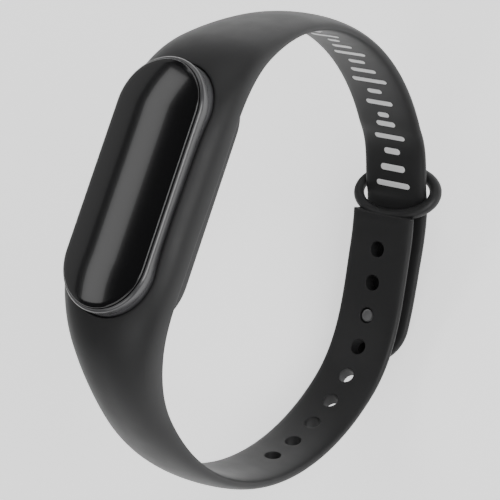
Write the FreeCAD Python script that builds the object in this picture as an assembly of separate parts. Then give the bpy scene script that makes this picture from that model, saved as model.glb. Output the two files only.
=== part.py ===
import FreeCAD, Part

import math
import os

from FreeCAD import Vector

# Fitness tracker band: a sealed tracker capsule in a silicone wrist strap.
# Millimetres. X runs along the wrist, +Z is the way the display faces and +Y is the
# side of the strap that carries the stud. The origin is the middle of the wrist opening.

# ---- driving dimensions: the strap ----
# The strap's middle line is a closed curve round the wrist. Angles run from +Y towards +Z.
LOOP_RADIUS = 39.3                   # of the strap's middle line, where nothing flattens it
LOOP_SHIFT = 1.3                     # how far the loop bulges towards LOOP_SHIFT_ANGLE
LOOP_SHIFT_ANGLE = 215.0
SEAT_FLAT = 3.9                      # how far the loop is pressed in at the display
SEAT_SPREAD = 40.0                   # degrees either side of the display
CLASP_FLAT = 4.3                     # how far it is pressed in at the ring
CLASP_ANGLES = (245.0, 285.0, 300.0, 320.0)
LOOP_STEP = 5                        # degrees between the points that carry the curve
THICKNESS = 2.7
ARM_WIDTH = 13.0
FRAME_WIDTH = 22.3
STUD_SIDE_TAPER = (5.0, 55.0)      # distances from the display's centre where the width falls
HOLE_SIDE_TAPER = (10.0, 40.0)
LIP_RISE = 4.0                      # how far the frame's crown stands above a plain arm
LIP_END_RISE = -0.3                  # change of that towards the capsule's two ends
LIP_END_AT = 16.0
STUD_SIDE_CROWN = (6.0, 38.0)      # distances between which the crown fades out
HOLE_SIDE_CROWN = (16.0, 66.0)
ARM_ROUNDNESS = 2.0                 # superellipse exponents of the strap's outer side
FRAME_ROUNDNESS = 2.4
INNER_ROUNDNESS = 3.4
EDGE_SHARE = 0.4                    # height of the widest line, as a share of the thickness
SECTION_SHARES = (-1, -0.97, -0.88, -0.7, -0.4, 0, 0.4, 0.7, 0.88, 0.97, 1)
SECTION_STEP = 3.0
LIFTED_STEP = 2.0
HINGE_GAP = 0.05                    # half of the saw cut left where two strap pieces meet

# ---- driving dimensions: the clasp ----
KEEPER_ANGLE = 296.0                # where the holed arm ends and the keeper's inner bar sits
KEEPER_HALF_WIDTH = 8.0
KEEPER_HALF_HEIGHT = 5.2
KEEPER_LEAN = 42.0                  # degrees that the keeper leans back along the stud arm
KEEPER_TUBE_RADIUS = 1.1
KEEPER_HORNS = 2.0                  # how far the holed arm's corners run on beside the keeper
HOLE_COUNT = 9
HOLE_PITCH = 6.3
HOLE_RADIUS = 1.45
FIRST_HOLE = 6.7                    # keeper bar to the nearest hole
STUD_HOLE = 2                       # index of the hole that the stud sits in
OVERLAP_LIFT = 4.5                  # the tail's middle line above the holed arm's, at the keeper
TIP_LIFT = 3.6                     # the same, at the tail's tip
LIFT_START = 18.0                   # the stud arm starts to rise this far before the keeper
LIFT_END = -1.0                     # and has risen fully this far beyond it
TAIL_LENGTH = 27.0                  # keeper bar to the tail's tip
TAIL_HINGE = -8.5                    # keeper bar to the line where the tail peels back
TIP_THINNING = 0.28                 # share of the thickness lost at the very tip
TIP_TURN = 77.0                     # degrees of the round tip before its blunt end
STUD_BEYOND = FIRST_HOLE + STUD_HOLE * HOLE_PITCH
STUD_HEAD_RADIUS = 1.32
STUD_HEAD_TIP = -1.05                # levels of the head, from the middle of the strap's thickness
STUD_HEAD_BACK = 0.2
STUD_HEAD_EDGE = 0.25
STUD_NECK_RADIUS = 1.0
STUD_CAP_RADIUS = 2.6
STUD_CAP_SINK = 0.5
STUD_CAP_PROUD = 0.3
STUD_FIT = 0.02

# ---- driving dimensions: where the strap bends, as angles round the wrist ----
STUD_ARM_HINGES = (390.0, 345.0)
HOLE_ARM_HINGES = (150.0, 200.0)

# ---- driving dimensions: the capsule ----
CAPSULE_Y = -1.6
CAPSULE_LENGTH = 41.2
CAPSULE_WIDTH = 16.6
WINDOW_STEP = 0.6                   # the window is inset this much all round
SHELL_BOTTOM = 31.2
SHELL_TOP = 38.3
BEZEL_TOP = 39.9
WINDOW_RIM = 40.3
WINDOW_CROWN = 41.3
WALL = 1.0
FLOOR = 0.9
SEAL_DEPTH = 0.5
BEZEL_LEDGE_TOP = SHELL_TOP + 0.5
BEZEL_LEDGE_INSET = 1.9
BEZEL_BEVEL = 0.3
GASKET_THICKNESS = 0.15
WINDOW_UNDERSIDE = BEZEL_LEDGE_TOP + GASKET_THICKNESS
WINDOW_GAP = 0.05

# ---- driving dimensions: the strap's pocket for the capsule ----
POCKET_CLEARANCE = 0.12
SKIRT_WALL = 0.9
SKIRT_BOTTOM = 30.4
SKIRT_TOP = 35.3
SKIRT_FILLET = 0.85
LEDGE = 0.8                         # thickness of the rim under the capsule
LEDGE_INSET = 2.4

# ---- driving dimensions: inside the capsule ----
INSIDE = WALL + 0.05                # inset of the pieces that drop into the shell
CARRIER_WALL = 0.7
FLOOR_TOP = SHELL_BOTTOM + FLOOR
OPTICS_BOARD_LOW = FLOOR_TOP + 0.02
OPTICS_BOARD_HIGH = OPTICS_BOARD_LOW + 0.5
CARRIER_LOW = FLOOR_TOP + 0.6
BOARD_LOW = 36.0
BOARD_HIGH = 36.6
CELL_LOW = 33.0
CELL_HIGH = 35.75
CELL_Y = -2.2                       # all Y places below are from the capsule's centre
MOTOR_Y = 14.0
MOTOR_RADIUS = 3.5
MOTOR_LOW = 32.9
MOTOR_HIGH = 35.6
MOTOR_SKIN = 0.25
MOTOR_PLATE = 0.3
MOTOR_SHAFT_RADIUS = 0.4
RUNNING_CLEARANCE = 0.03
ROTOR_BUSH_RADIUS = 1.0
ROTOR_RADIUS = 2.9
WEIGHT_RADIUS = 3.05
ROTOR_LOW = MOTOR_LOW + 0.55
ROTOR_HIGH = MOTOR_HIGH - 0.5
PANEL_LOW = 37.55
PANEL_HIGH = 38.8
PANEL_WIDTH = 11.2
PANEL_GLASS = 0.9
ELECTRODE = 0.12
CONNECTOR_TOP = 37.1
CONNECTOR_Y = 13.4
FLEX_START = 15.0
FLEX_BEND = 17.7
FLEX_WIDTH = 4.4
FLEX_THICKNESS = 0.12

# ---- driving dimensions: the underside ----
SENSOR_RADIUS = 4.2
SENSOR_PROUD = 0.7
SENSOR_SKIN = 0.6
LED_X = 2.3
CONTACT_RADIUS = 0.95
CONTACT_HEAD_RADIUS = 1.3
CONTACT_HEAD = 0.3
CONTACT_PROUD = 0.05
CONTACT_SEAL = 0.3
CONTACT_X = 2.7
CONTACT_Y = -16.4
SPRING_WIDTH = 0.8
SPRING_STRIP = 0.18

os.makedirs("parts", exist_ok=True)


def smooth(value):
    value = min(max(value, 0.0), 1.0)
    return value * value * (3 - 2 * value)


# ---- the loop that every strap piece follows ----
def smooth(share):
    share = min(max(share, 0.0), 1.0)
    return 0.5 - 0.5 * math.cos(math.pi * share)


def loop_radius(angle):
    """A shifted circle, pressed in at the display and at the ring."""
    start, deep, rising, end = CLASP_ANGLES
    seat = smooth(1 - abs(angle - 90) / SEAT_SPREAD) + smooth(1 - abs(angle - 450) / SEAT_SPREAD)
    clasp = smooth((angle - start) / (deep - start)) * smooth((end - angle) / (end - rising))
    shift = LOOP_SHIFT * math.cos(math.radians(angle - LOOP_SHIFT_ANGLE))
    return LOOP_RADIUS + shift - SEAT_FLAT * seat - CLASP_FLAT * clasp


def make_loop():
    points = []
    for angle in range(90, 450, LOOP_STEP):
        radius = loop_radius(angle)
        turn = math.radians(angle)
        points.append(Vector(0, radius * math.cos(turn), radius * math.sin(turn)))
    curve = Part.BSplineCurve()
    curve.interpolate(Points=points, PeriodicFlag=True)
    return curve


LOOP = make_loop()
LOOP_LENGTH = LOOP.length()


def distance_at(angle):
    """Distance along the loop from the display's centre to the place at an angle."""
    turn = math.radians(angle)
    near = Vector(0, LOOP_RADIUS * math.cos(turn), LOOP_RADIUS * math.sin(turn))
    return LOOP.length(LOOP.FirstParameter, LOOP.parameter(near))


KEEPER_AT = distance_at(KEEPER_ANGLE)


def station(distance, lift=0.0):
    """Point on the strap's middle line, raised by lift, with its tangent and outward normal."""
    parameter = LOOP.parameterAtDistance(distance, LOOP.FirstParameter)
    point = LOOP.value(parameter)
    tangent = Vector(*LOOP.tangent(parameter)[0]).normalize()
    outward = Vector(0, tangent.z, -tangent.y)
    return point + outward * lift, tangent, outward


def side_of_display(distance):
    """Distance from the display's centre and whether the place is on the stud's side."""
    on_stud_side = distance > LOOP_LENGTH / 2
    away = LOOP_LENGTH - distance if on_stud_side else distance
    return away, on_stud_side


def half_width(distance):
    away, on_stud_side = side_of_display(distance)
    start, end = STUD_SIDE_TAPER if on_stud_side else HOLE_SIDE_TAPER
    narrowed = smooth((away - start) / (end - start))
    return (FRAME_WIDTH + (ARM_WIDTH - FRAME_WIDTH) * narrowed) / 2


def crown_share(distance):
    away, on_stud_side = side_of_display(distance)
    start, end = STUD_SIDE_CROWN if on_stud_side else HOLE_SIDE_CROWN
    return 1 - smooth((away - start) / (end - start))


def top_height(distance):
    """Height of the strap's outer side above its inner face, at X = 0."""
    away = side_of_display(distance)[0]
    rise = LIP_RISE + LIP_END_RISE * smooth(away / LIP_END_AT)
    return THICKNESS + rise * crown_share(distance)


def tail_lift(beyond):
    """How far the stud arm's middle line lies outside the loop, beyond the keeper bar."""
    rise = OVERLAP_LIFT * smooth((beyond + LIFT_START) / (LIFT_START + LIFT_END))
    return rise + (TIP_LIFT - OVERLAP_LIFT) * min(max(beyond / TAIL_LENGTH, 0), 1)


# ---- sections and lofts ----
def section(place, outward, width, height, roundness):
    """Closed wire across the strap: a crowned outer side and a flatter inner side."""
    middle = THICKNESS * EDGE_SHARE
    halves = [(height - middle, roundness), (-middle, INNER_ROUNDNESS)]
    edges = []
    for reach, exponent in halves:
        points = []
        for share in SECTION_SHARES:
            up = reach * (1 - abs(share) ** exponent) ** (1 / exponent)
            inner_face = -THICKNESS / 2 + middle
            points.append(place + Vector(width * share, 0, 0) + outward * (inner_face + up))
        curve = Part.BSplineCurve()
        curve.interpolate(Points=points, Parameters=[float(i) for i in range(len(points))])
        edges.append(curve.toShape())
    return Part.Wire(edges)


def loft(wires):
    solid = Part.makeLoft(wires, True, False)
    if solid.Volume < 0:
        solid.reverse()
    return solid


def strap_piece(start, end):
    """The strap between two distances along the loop, with its true width and crown."""
    count = max(3, round(abs(end - start) / SECTION_STEP))
    wires = []
    for step in range(count + 1):
        distance = start + (end - start) * step / count
        place, _, outward = station(distance % LOOP_LENGTH)
        crown = crown_share(distance % LOOP_LENGTH)
        roundness = ARM_ROUNDNESS + (FRAME_ROUNDNESS - ARM_ROUNDNESS) * smooth(crown * 1.6)
        height = top_height(distance % LOOP_LENGTH)
        wires.append(section(place, outward, half_width(distance % LOOP_LENGTH), height, roundness))
    return loft(wires)


def lifted_piece(start, end):
    """The stud arm near the clasp, between two distances beyond the keeper bar."""
    count = max(3, round(abs(end - start) / LIFTED_STEP))
    wires = []
    for step in range(count + 1):
        beyond = start + (end - start) * step / count
        wires.append(lifted_section(beyond, ARM_WIDTH / 2, THICKNESS))
    return loft(wires)


def lifted_station(beyond):
    """Point on the lifted middle line and the outward normal there."""
    step = 0.2
    place = station(KEEPER_AT - beyond, tail_lift(beyond))[0]
    ahead = station(KEEPER_AT - beyond - step, tail_lift(beyond + step))[0]
    along = (ahead - place).normalize()
    return place, Vector(0, -along.z, along.y)


def lifted_section(beyond, width, height):
    place, outward = lifted_station(beyond)
    return section(place, outward, width, height, ARM_ROUNDNESS)


# ---- pill-shaped and plain solids for the capsule ----
def pill_face(length, width, height):
    radius = width / 2
    reach = length / 2 - radius
    top = CAPSULE_Y + reach
    bottom = CAPSULE_Y - reach
    edges = [
        Part.LineSegment(Vector(radius, bottom, height), Vector(radius, top, height)),
        Part.Arc(Vector(radius, top, height), Vector(0, top + radius, height),
                 Vector(-radius, top, height)),
        Part.LineSegment(Vector(-radius, top, height), Vector(-radius, bottom, height)),
        Part.Arc(Vector(-radius, bottom, height), Vector(0, bottom - radius, height),
                 Vector(radius, bottom, height)),
    ]
    return Part.Face(Part.Wire([edge.toShape() for edge in edges]))


def pill(length, width, low, high):
    return pill_face(length, width, low).extrude(Vector(0, 0, high - low))


def pill_inset(inset, low, high):
    """A pill prism set in from the capsule's outline by the same amount all round."""
    return pill(CAPSULE_LENGTH - 2 * inset, CAPSULE_WIDTH - 2 * inset, low, high)


def sweep_pill(face, reach):
    up = Vector(0, 0, 1)
    near = face.translated(Vector(0, CAPSULE_Y - reach, 0))
    far = face.translated(Vector(0, CAPSULE_Y + reach, 0))
    along = Vector(0, 2 * reach, 0)
    pieces = [
        near.extrude(along),
        near.mirror(Vector(0, 0, 0), Vector(1, 0, 0)).extrude(along),
        far.revolve(Vector(0, CAPSULE_Y + reach, 0), up, 180),
        near.revolve(Vector(0, CAPSULE_Y - reach, 0), up, -180),
    ]
    return pieces[0].fuse(pieces[1:]).removeSplitter()


def block(size_x, size_y, low, high, x=0.0, y=0.0):
    corner = Vector(x - size_x / 2, CAPSULE_Y + y - size_y / 2, low)
    return Part.makeBox(size_x, size_y, high - low, corner)


def drum(radius, low, high, x=0.0, y=0.0):
    return Part.makeCylinder(radius, high - low, Vector(x, CAPSULE_Y + y, low))


def edges_at(solid, height):
    """The edges that lie wholly at one height, to be rounded or bevelled together."""
    found = []
    for edge in solid.Edges:
        box = edge.BoundBox
        if abs(box.ZMin - height) < 1e-4 and abs(box.ZMax - height) < 1e-4:
            found.append(edge)
    return found


# ---- the strap's pieces ----
STUD_HINGE_AT = [distance_at(angle) for angle in STUD_ARM_HINGES]
HOLE_HINGE_AT = [distance_at(angle) for angle in HOLE_ARM_HINGES]


def strap_frame():
    """The wide part that grips the capsule, with its pocket, skirt and supporting ledge."""
    body = strap_piece(STUD_HINGE_AT[0] + HINGE_GAP, LOOP_LENGTH + HOLE_HINGE_AT[0] - HINGE_GAP)
    outset = -(POCKET_CLEARANCE + SKIRT_WALL)
    skirt = pill_inset(outset, SKIRT_BOTTOM, SKIRT_TOP)
    skirt = skirt.makeFillet(SKIRT_FILLET, edges_at(skirt, SKIRT_BOTTOM))
    pocket = pill_inset(-POCKET_CLEARANCE, SKIRT_BOTTOM + LEDGE, WINDOW_CROWN + 5)
    sensor_hole = pill_inset(LEDGE_INSET, SKIRT_BOTTOM - 5, WINDOW_CROWN)
    return body.fuse(skirt).cut(pocket).cut(sensor_hole)


def stud_arm_upper():
    return strap_piece(STUD_HINGE_AT[1] + HINGE_GAP, STUD_HINGE_AT[0] - HINGE_GAP)


def stud_arm_lower():
    plain = KEEPER_AT + LIFT_START - STUD_HINGE_AT[1] + HINGE_GAP
    return lifted_piece(-LIFT_START + plain, TAIL_HINGE - HINGE_GAP)


def strap_tail():
    """The free end, with a round tip and a seat for the stud."""
    start = TAIL_HINGE + HINGE_GAP
    straight_end = TAIL_LENGTH - ARM_WIDTH / 2
    steps = 8
    beyonds = [start + (straight_end - start) * step / steps for step in range(steps)]
    wires = [lifted_section(beyond, ARM_WIDTH / 2, THICKNESS) for beyond in beyonds]
    for step in range(steps + 1):
        turn = math.radians(TIP_TURN * step / steps)
        beyond = straight_end + ARM_WIDTH / 2 * math.sin(turn)
        height = THICKNESS * (1 - TIP_THINNING * (1 - math.cos(turn)))
        wires.append(lifted_section(beyond, ARM_WIDTH / 2 * math.cos(turn), height))
    return loft(wires).cut(stud_seat(STUD_FIT))


def hole_arm_upper():
    return strap_piece(HOLE_HINGE_AT[0] + HINGE_GAP, HOLE_HINGE_AT[1] - HINGE_GAP)


def hole_arm_lower():
    """The arm with the row of holes. Its two end corners reach up the keeper's sides."""
    arm = strap_piece(HOLE_HINGE_AT[1] + HINGE_GAP, KEEPER_AT + KEEPER_HORNS)
    for index in range(HOLE_COUNT):
        place, _, outward = station(KEEPER_AT - FIRST_HOLE - index * HOLE_PITCH, -THICKNESS)
        arm = arm.cut(Part.makeCylinder(HOLE_RADIUS, 2 * THICKNESS, place, outward))
    oval, _, normal = keeper_oval()
    inside = Part.Face(oval).translated(normal * -KEEPER_TUBE_RADIUS)
    return arm.cut(keeper_loop()).cut(inside.extrude(normal * 3 * KEEPER_HALF_HEIGHT))


def keeper_oval():
    """The middle line of the keeper's tube, its upright direction and its normal."""
    bar, tangent, outward = station(KEEPER_AT)
    lean = math.radians(KEEPER_LEAN)
    upright = outward * math.cos(lean) + tangent * math.sin(lean)
    normal = tangent * math.cos(lean) - outward * math.sin(lean)
    centre = bar + upright * KEEPER_HALF_HEIGHT
    oval = Part.Ellipse(centre + Vector(KEEPER_HALF_WIDTH, 0, 0),
                        centre + upright * KEEPER_HALF_HEIGHT, centre)
    return Part.Wire(oval.toShape()), upright, normal


def keeper_loop():
    """An oval ring of round section, whose inner bar ends the holed arm."""
    path, upright, _ = keeper_oval()
    start = path.Vertexes[0].Point
    tube = Part.Circle(start, upright, KEEPER_TUBE_RADIUS)
    return path.makePipeShell([Part.Wire(tube.toShape())], True, False)


# ---- the stud ----
def stud_levels():
    inner = tail_lift(STUD_BEYOND) - THICKNESS / 2
    outer = tail_lift(STUD_BEYOND) + THICKNESS / 2
    return inner, outer


def stud_profile(fit):
    """(radius, height) corners of the stud above the holed arm's middle line."""
    inner, outer = stud_levels()
    seat = outer - STUD_CAP_SINK
    return [
        (0, STUD_HEAD_TIP), (STUD_HEAD_RADIUS - STUD_HEAD_EDGE, STUD_HEAD_TIP),
        (STUD_HEAD_RADIUS, STUD_HEAD_TIP + STUD_HEAD_EDGE), (STUD_HEAD_RADIUS, STUD_HEAD_BACK),
        (STUD_NECK_RADIUS + fit, STUD_HEAD_BACK + 0.4), (STUD_NECK_RADIUS + fit, seat - fit),
        (STUD_CAP_RADIUS + fit, seat - fit), (STUD_CAP_RADIUS + fit, outer - 0.1),
        (STUD_CAP_RADIUS - 0.5, outer + STUD_CAP_PROUD), (0, outer + STUD_CAP_PROUD),
    ]


def turned_on_stud_axis(profile):
    place, _, outward = station(KEEPER_AT - STUD_BEYOND)
    corners = [place + Vector(radius, 0, 0) + outward * height for radius, height in profile]
    face = Part.Face(Part.makePolygon(corners + corners[:1]))
    return face.revolve(place, outward, 360)


def clasp_stud():
    return turned_on_stud_axis(stud_profile(0))


def stud_seat(fit):
    """The space that the stud and its cap take up in the tail, open at the outer side."""
    inner, outer = stud_levels()
    seat = outer - STUD_CAP_SINK - fit
    neck = STUD_NECK_RADIUS + fit
    cap = STUD_CAP_RADIUS + fit
    return turned_on_stud_axis([
        (0, inner - 1), (neck, inner - 1), (neck, seat), (cap, seat), (cap, outer + 1),
        (0, outer + 1),
    ])


# ---- the capsule's case ----
def rear_shell():
    shell = pill_inset(0, SHELL_BOTTOM, SHELL_TOP)
    shell = shell.makeFillet(1.0, edges_at(shell, SHELL_BOTTOM))
    shell = shell.cut(pill_inset(WALL, SHELL_BOTTOM + FLOOR, SHELL_TOP))
    shell = shell.cut(pill_inset(0.3, SHELL_TOP - SEAL_DEPTH, SHELL_TOP).cut(
        pill_inset(0.7, SHELL_TOP - SEAL_DEPTH, SHELL_TOP)))
    shell = shell.cut(drum(SENSOR_RADIUS, SHELL_BOTTOM, SHELL_BOTTOM + FLOOR))
    for side in (-1, 1):
        shell = shell.cut(drum(CONTACT_RADIUS + CONTACT_SEAL, SHELL_BOTTOM,
                               SHELL_BOTTOM + FLOOR, side * CONTACT_X, CONTACT_Y))
    return shell


def shell_seal():
    ring = pill_inset(0.34, SHELL_TOP - SEAL_DEPTH, SHELL_TOP)
    return ring.cut(pill_inset(0.66, SHELL_TOP - SEAL_DEPTH, SHELL_TOP))


def bezel_frame():
    """The collar that joins the shell to the window, with a bevelled upper edge."""
    collar = pill_inset(0, SHELL_TOP, BEZEL_TOP)
    collar = collar.makeChamfer(BEZEL_BEVEL, edges_at(collar, BEZEL_TOP))
    seat = pill_inset(WINDOW_STEP - WINDOW_GAP, BEZEL_LEDGE_TOP, BEZEL_TOP)
    return collar.cut(seat).cut(pill_inset(BEZEL_LEDGE_INSET, SHELL_TOP, BEZEL_TOP))


def window_gasket():
    ring = pill_inset(WINDOW_STEP + 0.05, BEZEL_LEDGE_TOP, WINDOW_UNDERSIDE)
    return ring.cut(pill_inset(BEZEL_LEDGE_INSET, BEZEL_LEDGE_TOP, WINDOW_UNDERSIDE))


def display_window():
    """A pill-shaped window whose face is an arc across its width, turned round both ends."""
    radius = CAPSULE_WIDTH / 2 - WINDOW_STEP
    reach = (CAPSULE_LENGTH - CAPSULE_WIDTH) / 2
    rise = WINDOW_CROWN - WINDOW_RIM
    bulge = (radius ** 2 + rise ** 2) / (2 * rise)
    half = radius / 2
    half_height = WINDOW_CROWN - bulge + math.sqrt(bulge ** 2 - half ** 2)
    foot = Vector(0, 0, WINDOW_UNDERSIDE)
    corner = Vector(radius, 0, WINDOW_UNDERSIDE)
    rim = Vector(radius, 0, WINDOW_RIM)
    crown = Vector(0, 0, WINDOW_CROWN)
    edges = [
        Part.LineSegment(foot, corner).toShape(),
        Part.LineSegment(corner, rim).toShape(),
        Part.Arc(rim, Vector(half, 0, half_height), crown).toShape(),
        Part.LineSegment(crown, foot).toShape(),
    ]
    return sweep_pill(Part.Face(Part.Wire(edges)), reach)


def touch_electrode():
    """The film under the window that feels a finger."""
    return pill_inset(2.6, WINDOW_UNDERSIDE - ELECTRODE, WINDOW_UNDERSIDE)


# ---- inside the capsule ----
def inner_chassis():
    """The carrier that lines the shell and holds the board, cell and motor apart."""
    carrier = pill_inset(INSIDE, CARRIER_LOW, BOARD_LOW)
    carrier = carrier.cut(pill_inset(INSIDE + CARRIER_WALL, CARRIER_LOW, BOARD_LOW))
    bridge = block(13.6, 0.6, CELL_LOW, BOARD_LOW, 0, 9.9)
    return carrier.fuse(bridge).removeSplitter()


def main_board():
    board = pill_inset(INSIDE + 0.1, BOARD_LOW, BOARD_HIGH)
    for side in (-1, 1):
        board = board.cut(drum(0.5, BOARD_LOW, BOARD_HIGH, side * 5.2, -12.0))
    return board


def oled_panel():
    glass = block(PANEL_WIDTH, 22.0, PANEL_HIGH - PANEL_GLASS, PANEL_HIGH, 0, 3.0)
    driver_ledge = block(PANEL_WIDTH, 25.0, PANEL_LOW, PANEL_HIGH - PANEL_GLASS, 0, 4.5)
    return glass.fuse(driver_ledge).removeSplitter()


def display_flex():
    """A ribbon that leaves the panel's end and folds back down to the board's connector."""
    low = CONNECTOR_TOP
    high = PANEL_LOW
    inner_low = low + FLEX_THICKNESS
    inner_high = high - FLEX_THICKNESS
    inner_bend = FLEX_BEND - FLEX_THICKNESS
    outline = [
        (FLEX_START, high), (FLEX_BEND, high), (FLEX_BEND, low), (CONNECTOR_Y, low),
        (CONNECTOR_Y, inner_low), (inner_bend, inner_low), (inner_bend, inner_high),
        (FLEX_START, inner_high),
    ]
    corners = [Vector(-FLEX_WIDTH / 2, CAPSULE_Y + y, z) for y, z in outline]
    face = Part.Face(Part.makePolygon(corners + corners[:1]))
    return face.extrude(Vector(FLEX_WIDTH, 0, 0))


def flex_connector():
    return block(5.0, 2.0, BOARD_HIGH, CONNECTOR_TOP, 0, CONNECTOR_Y)


def bluetooth_chip():
    return block(5.0, 5.0, BOARD_HIGH, BOARD_HIGH + 0.8, 0, -12.0)


def memory_chip():
    return block(3.0, 2.0, BOARD_HIGH, BOARD_HIGH + 0.6, 3.4, -5.4)


def motion_sensor():
    return block(2.0, 2.0, BOARD_HIGH, BOARD_HIGH + 0.8, -3.8, -4.8)


def charger_chip():
    return block(2.4, 2.4, BOARD_HIGH, BOARD_HIGH + 0.7, 3.6, 1.2)


def clock_crystal():
    return block(1.6, 2.0, BOARD_HIGH, BOARD_HIGH + 0.5, -4.6, -10.6)


def chip_antenna():
    return block(3.2, 1.6, BOARD_HIGH, BOARD_HIGH + 0.6, 0, -17.0)


def board_passives():
    """The board's small capacitors and resistors, in two rows."""
    pieces = []
    for row in range(7):
        for side in (-1, 1):
            y = -1.6 + row * 2.0
            pieces.append(block(0.5, 1.0, BOARD_HIGH, BOARD_HIGH + 0.45, side * 0.9, y))
    return Part.makeCompound(pieces)


def battery_cell():
    """A soft-wrapped lithium cell with rounded long edges."""
    cell = block(11.2, 23.0, CELL_LOW, CELL_HIGH, 0, CELL_Y)
    long_edges = [edge for edge in cell.Edges if edge.BoundBox.YLength > 20]
    return cell.makeFillet(0.9, long_edges)


def battery_protection_board():
    return block(9.0, 1.4, CELL_LOW + 0.3, CELL_HIGH - 0.5, 0, -14.6)


def battery_foam():
    return block(10.0, 22.0, OPTICS_BOARD_HIGH, CELL_LOW, 0, CELL_Y)


def motor_can():
    low = MOTOR_LOW + MOTOR_PLATE
    can = drum(MOTOR_RADIUS, low, MOTOR_HIGH, 0, MOTOR_Y)
    return can.cut(drum(MOTOR_RADIUS - MOTOR_SKIN, low, MOTOR_HIGH - MOTOR_SKIN, 0, MOTOR_Y))


def motor_base():
    high = MOTOR_LOW + MOTOR_PLATE
    plate = drum(MOTOR_RADIUS, MOTOR_LOW, high, 0, MOTOR_Y)
    return plate.cut(drum(MOTOR_SHAFT_RADIUS, MOTOR_LOW, high, 0, MOTOR_Y))


def motor_shaft():
    return drum(MOTOR_SHAFT_RADIUS, MOTOR_LOW, MOTOR_HIGH - MOTOR_SKIN, 0, MOTOR_Y)


def half_turn(radius, low, high, side):
    """Half of a drum, on one side of the motor's axis."""
    return drum(radius, low, high, 0, MOTOR_Y).common(
        block(2 * radius, radius, low, high, 0, MOTOR_Y + side * radius / 2))


def motor_rotor():
    """The moulded rotor: a light half disc round its bush."""
    disc = drum(ROTOR_BUSH_RADIUS, ROTOR_LOW, ROTOR_HIGH, 0, MOTOR_Y)
    disc = disc.fuse(half_turn(ROTOR_RADIUS, ROTOR_LOW, ROTOR_HIGH - 0.6, -1))
    bore = drum(MOTOR_SHAFT_RADIUS + RUNNING_CLEARANCE, ROTOR_LOW, ROTOR_HIGH, 0, MOTOR_Y)
    return disc.cut(bore).removeSplitter()


def motor_weight():
    """The off-centre tungsten weight that makes the motor shake."""
    weight = half_turn(WEIGHT_RADIUS, ROTOR_LOW, ROTOR_HIGH, 1)
    return weight.cut(drum(ROTOR_BUSH_RADIUS, ROTOR_LOW, ROTOR_HIGH, 0, MOTOR_Y))


def heart_rate_window():
    """The clear boss that presses the optics against the skin."""
    low = SHELL_BOTTOM - SENSOR_PROUD
    boss = drum(SENSOR_RADIUS, low, FLOOR_TOP)
    boss = boss.makeFillet(0.4, edges_at(boss, low))
    return boss.cut(drum(SENSOR_RADIUS - SENSOR_SKIN, low + SENSOR_SKIN, FLOOR_TOP))


def heart_rate_board():
    return block(9.6, 12.0, OPTICS_BOARD_LOW, OPTICS_BOARD_HIGH)


def green_leds():
    low = OPTICS_BOARD_LOW - 0.6
    diodes = [block(1.2, 1.6, low, OPTICS_BOARD_LOW, side * LED_X) for side in (-1, 1)]
    return Part.makeCompound(diodes)


def photodiode():
    return block(2.0, 2.4, OPTICS_BOARD_LOW - 0.5, OPTICS_BOARD_LOW)


def light_baffle():
    """The black wall that keeps the light of the diodes off the detector."""
    low = OPTICS_BOARD_LOW - 0.8
    walls = [block(0.3, 4.6, low, OPTICS_BOARD_LOW, side * 1.35) for side in (-1, 1)]
    return Part.makeCompound(walls)


def on_both_contacts(make):
    return Part.makeCompound([make(side * CONTACT_X) for side in (-1, 1)])


def charging_contacts():
    def pin(x):
        face = drum(CONTACT_RADIUS, SHELL_BOTTOM - CONTACT_PROUD, FLOOR_TOP, x, CONTACT_Y)
        head = drum(CONTACT_HEAD_RADIUS, FLOOR_TOP, FLOOR_TOP + CONTACT_HEAD, x, CONTACT_Y)
        return face.fuse(head).removeSplitter()
    return on_both_contacts(pin)


def contact_seals():
    def ring(x):
        outer = drum(CONTACT_RADIUS + CONTACT_SEAL, SHELL_BOTTOM, FLOOR_TOP, x, CONTACT_Y)
        return outer.cut(drum(CONTACT_RADIUS, SHELL_BOTTOM, FLOOR_TOP, x, CONTACT_Y))
    return on_both_contacts(ring)


def contact_springs():
    """Bent strips that carry the charge from the contacts up to the board."""
    low = FLOOR_TOP + CONTACT_HEAD
    low_inside = low + SPRING_STRIP
    high_inside = BOARD_LOW - SPRING_STRIP
    bend = (low + BOARD_LOW) / 2
    reach = 0.6
    fold = 0.25                     # the strip's slanting parts, measured along Y

    def spring(x):
        outline = [
            (-reach, low), (reach, low), (reach, low_inside), (fold - reach, low_inside),
            (reach, bend), (fold - reach, high_inside), (reach, high_inside),
            (reach, BOARD_LOW), (-reach, BOARD_LOW), (-reach, high_inside),
            (reach - fold, bend), (-reach, low_inside),
        ]
        left = x - SPRING_WIDTH / 2
        corners = [Vector(left, CAPSULE_Y + CONTACT_Y + y, z) for y, z in outline]
        face = Part.Face(Part.makePolygon(corners + corners[:1]))
        return face.extrude(Vector(SPRING_WIDTH, 0, 0))
    return on_both_contacts(spring)


SUB_PARTS = [
    strap_frame, stud_arm_upper, stud_arm_lower, strap_tail, clasp_stud, hole_arm_upper,
    hole_arm_lower, keeper_loop, rear_shell, shell_seal, bezel_frame, window_gasket,
    display_window, touch_electrode, inner_chassis, main_board, oled_panel, display_flex,
    flex_connector, bluetooth_chip, memory_chip, motion_sensor, charger_chip, clock_crystal,
    chip_antenna, board_passives, battery_cell, battery_protection_board, battery_foam,
    motor_can, motor_base, motor_shaft, motor_rotor, motor_weight, heart_rate_window,
    heart_rate_board, green_leds, photodiode, light_baffle, charging_contacts, contact_seals,
    contact_springs,
]

for sub_part in SUB_PARTS:
    shape = sub_part()
    assert shape.isValid() and shape.Volume > 0, sub_part.__name__
    shape.exportStep(f"parts/{sub_part.__name__}.step")
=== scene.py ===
import math

import bpy
import numpy as np
from mathutils import Matrix, Vector


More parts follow.
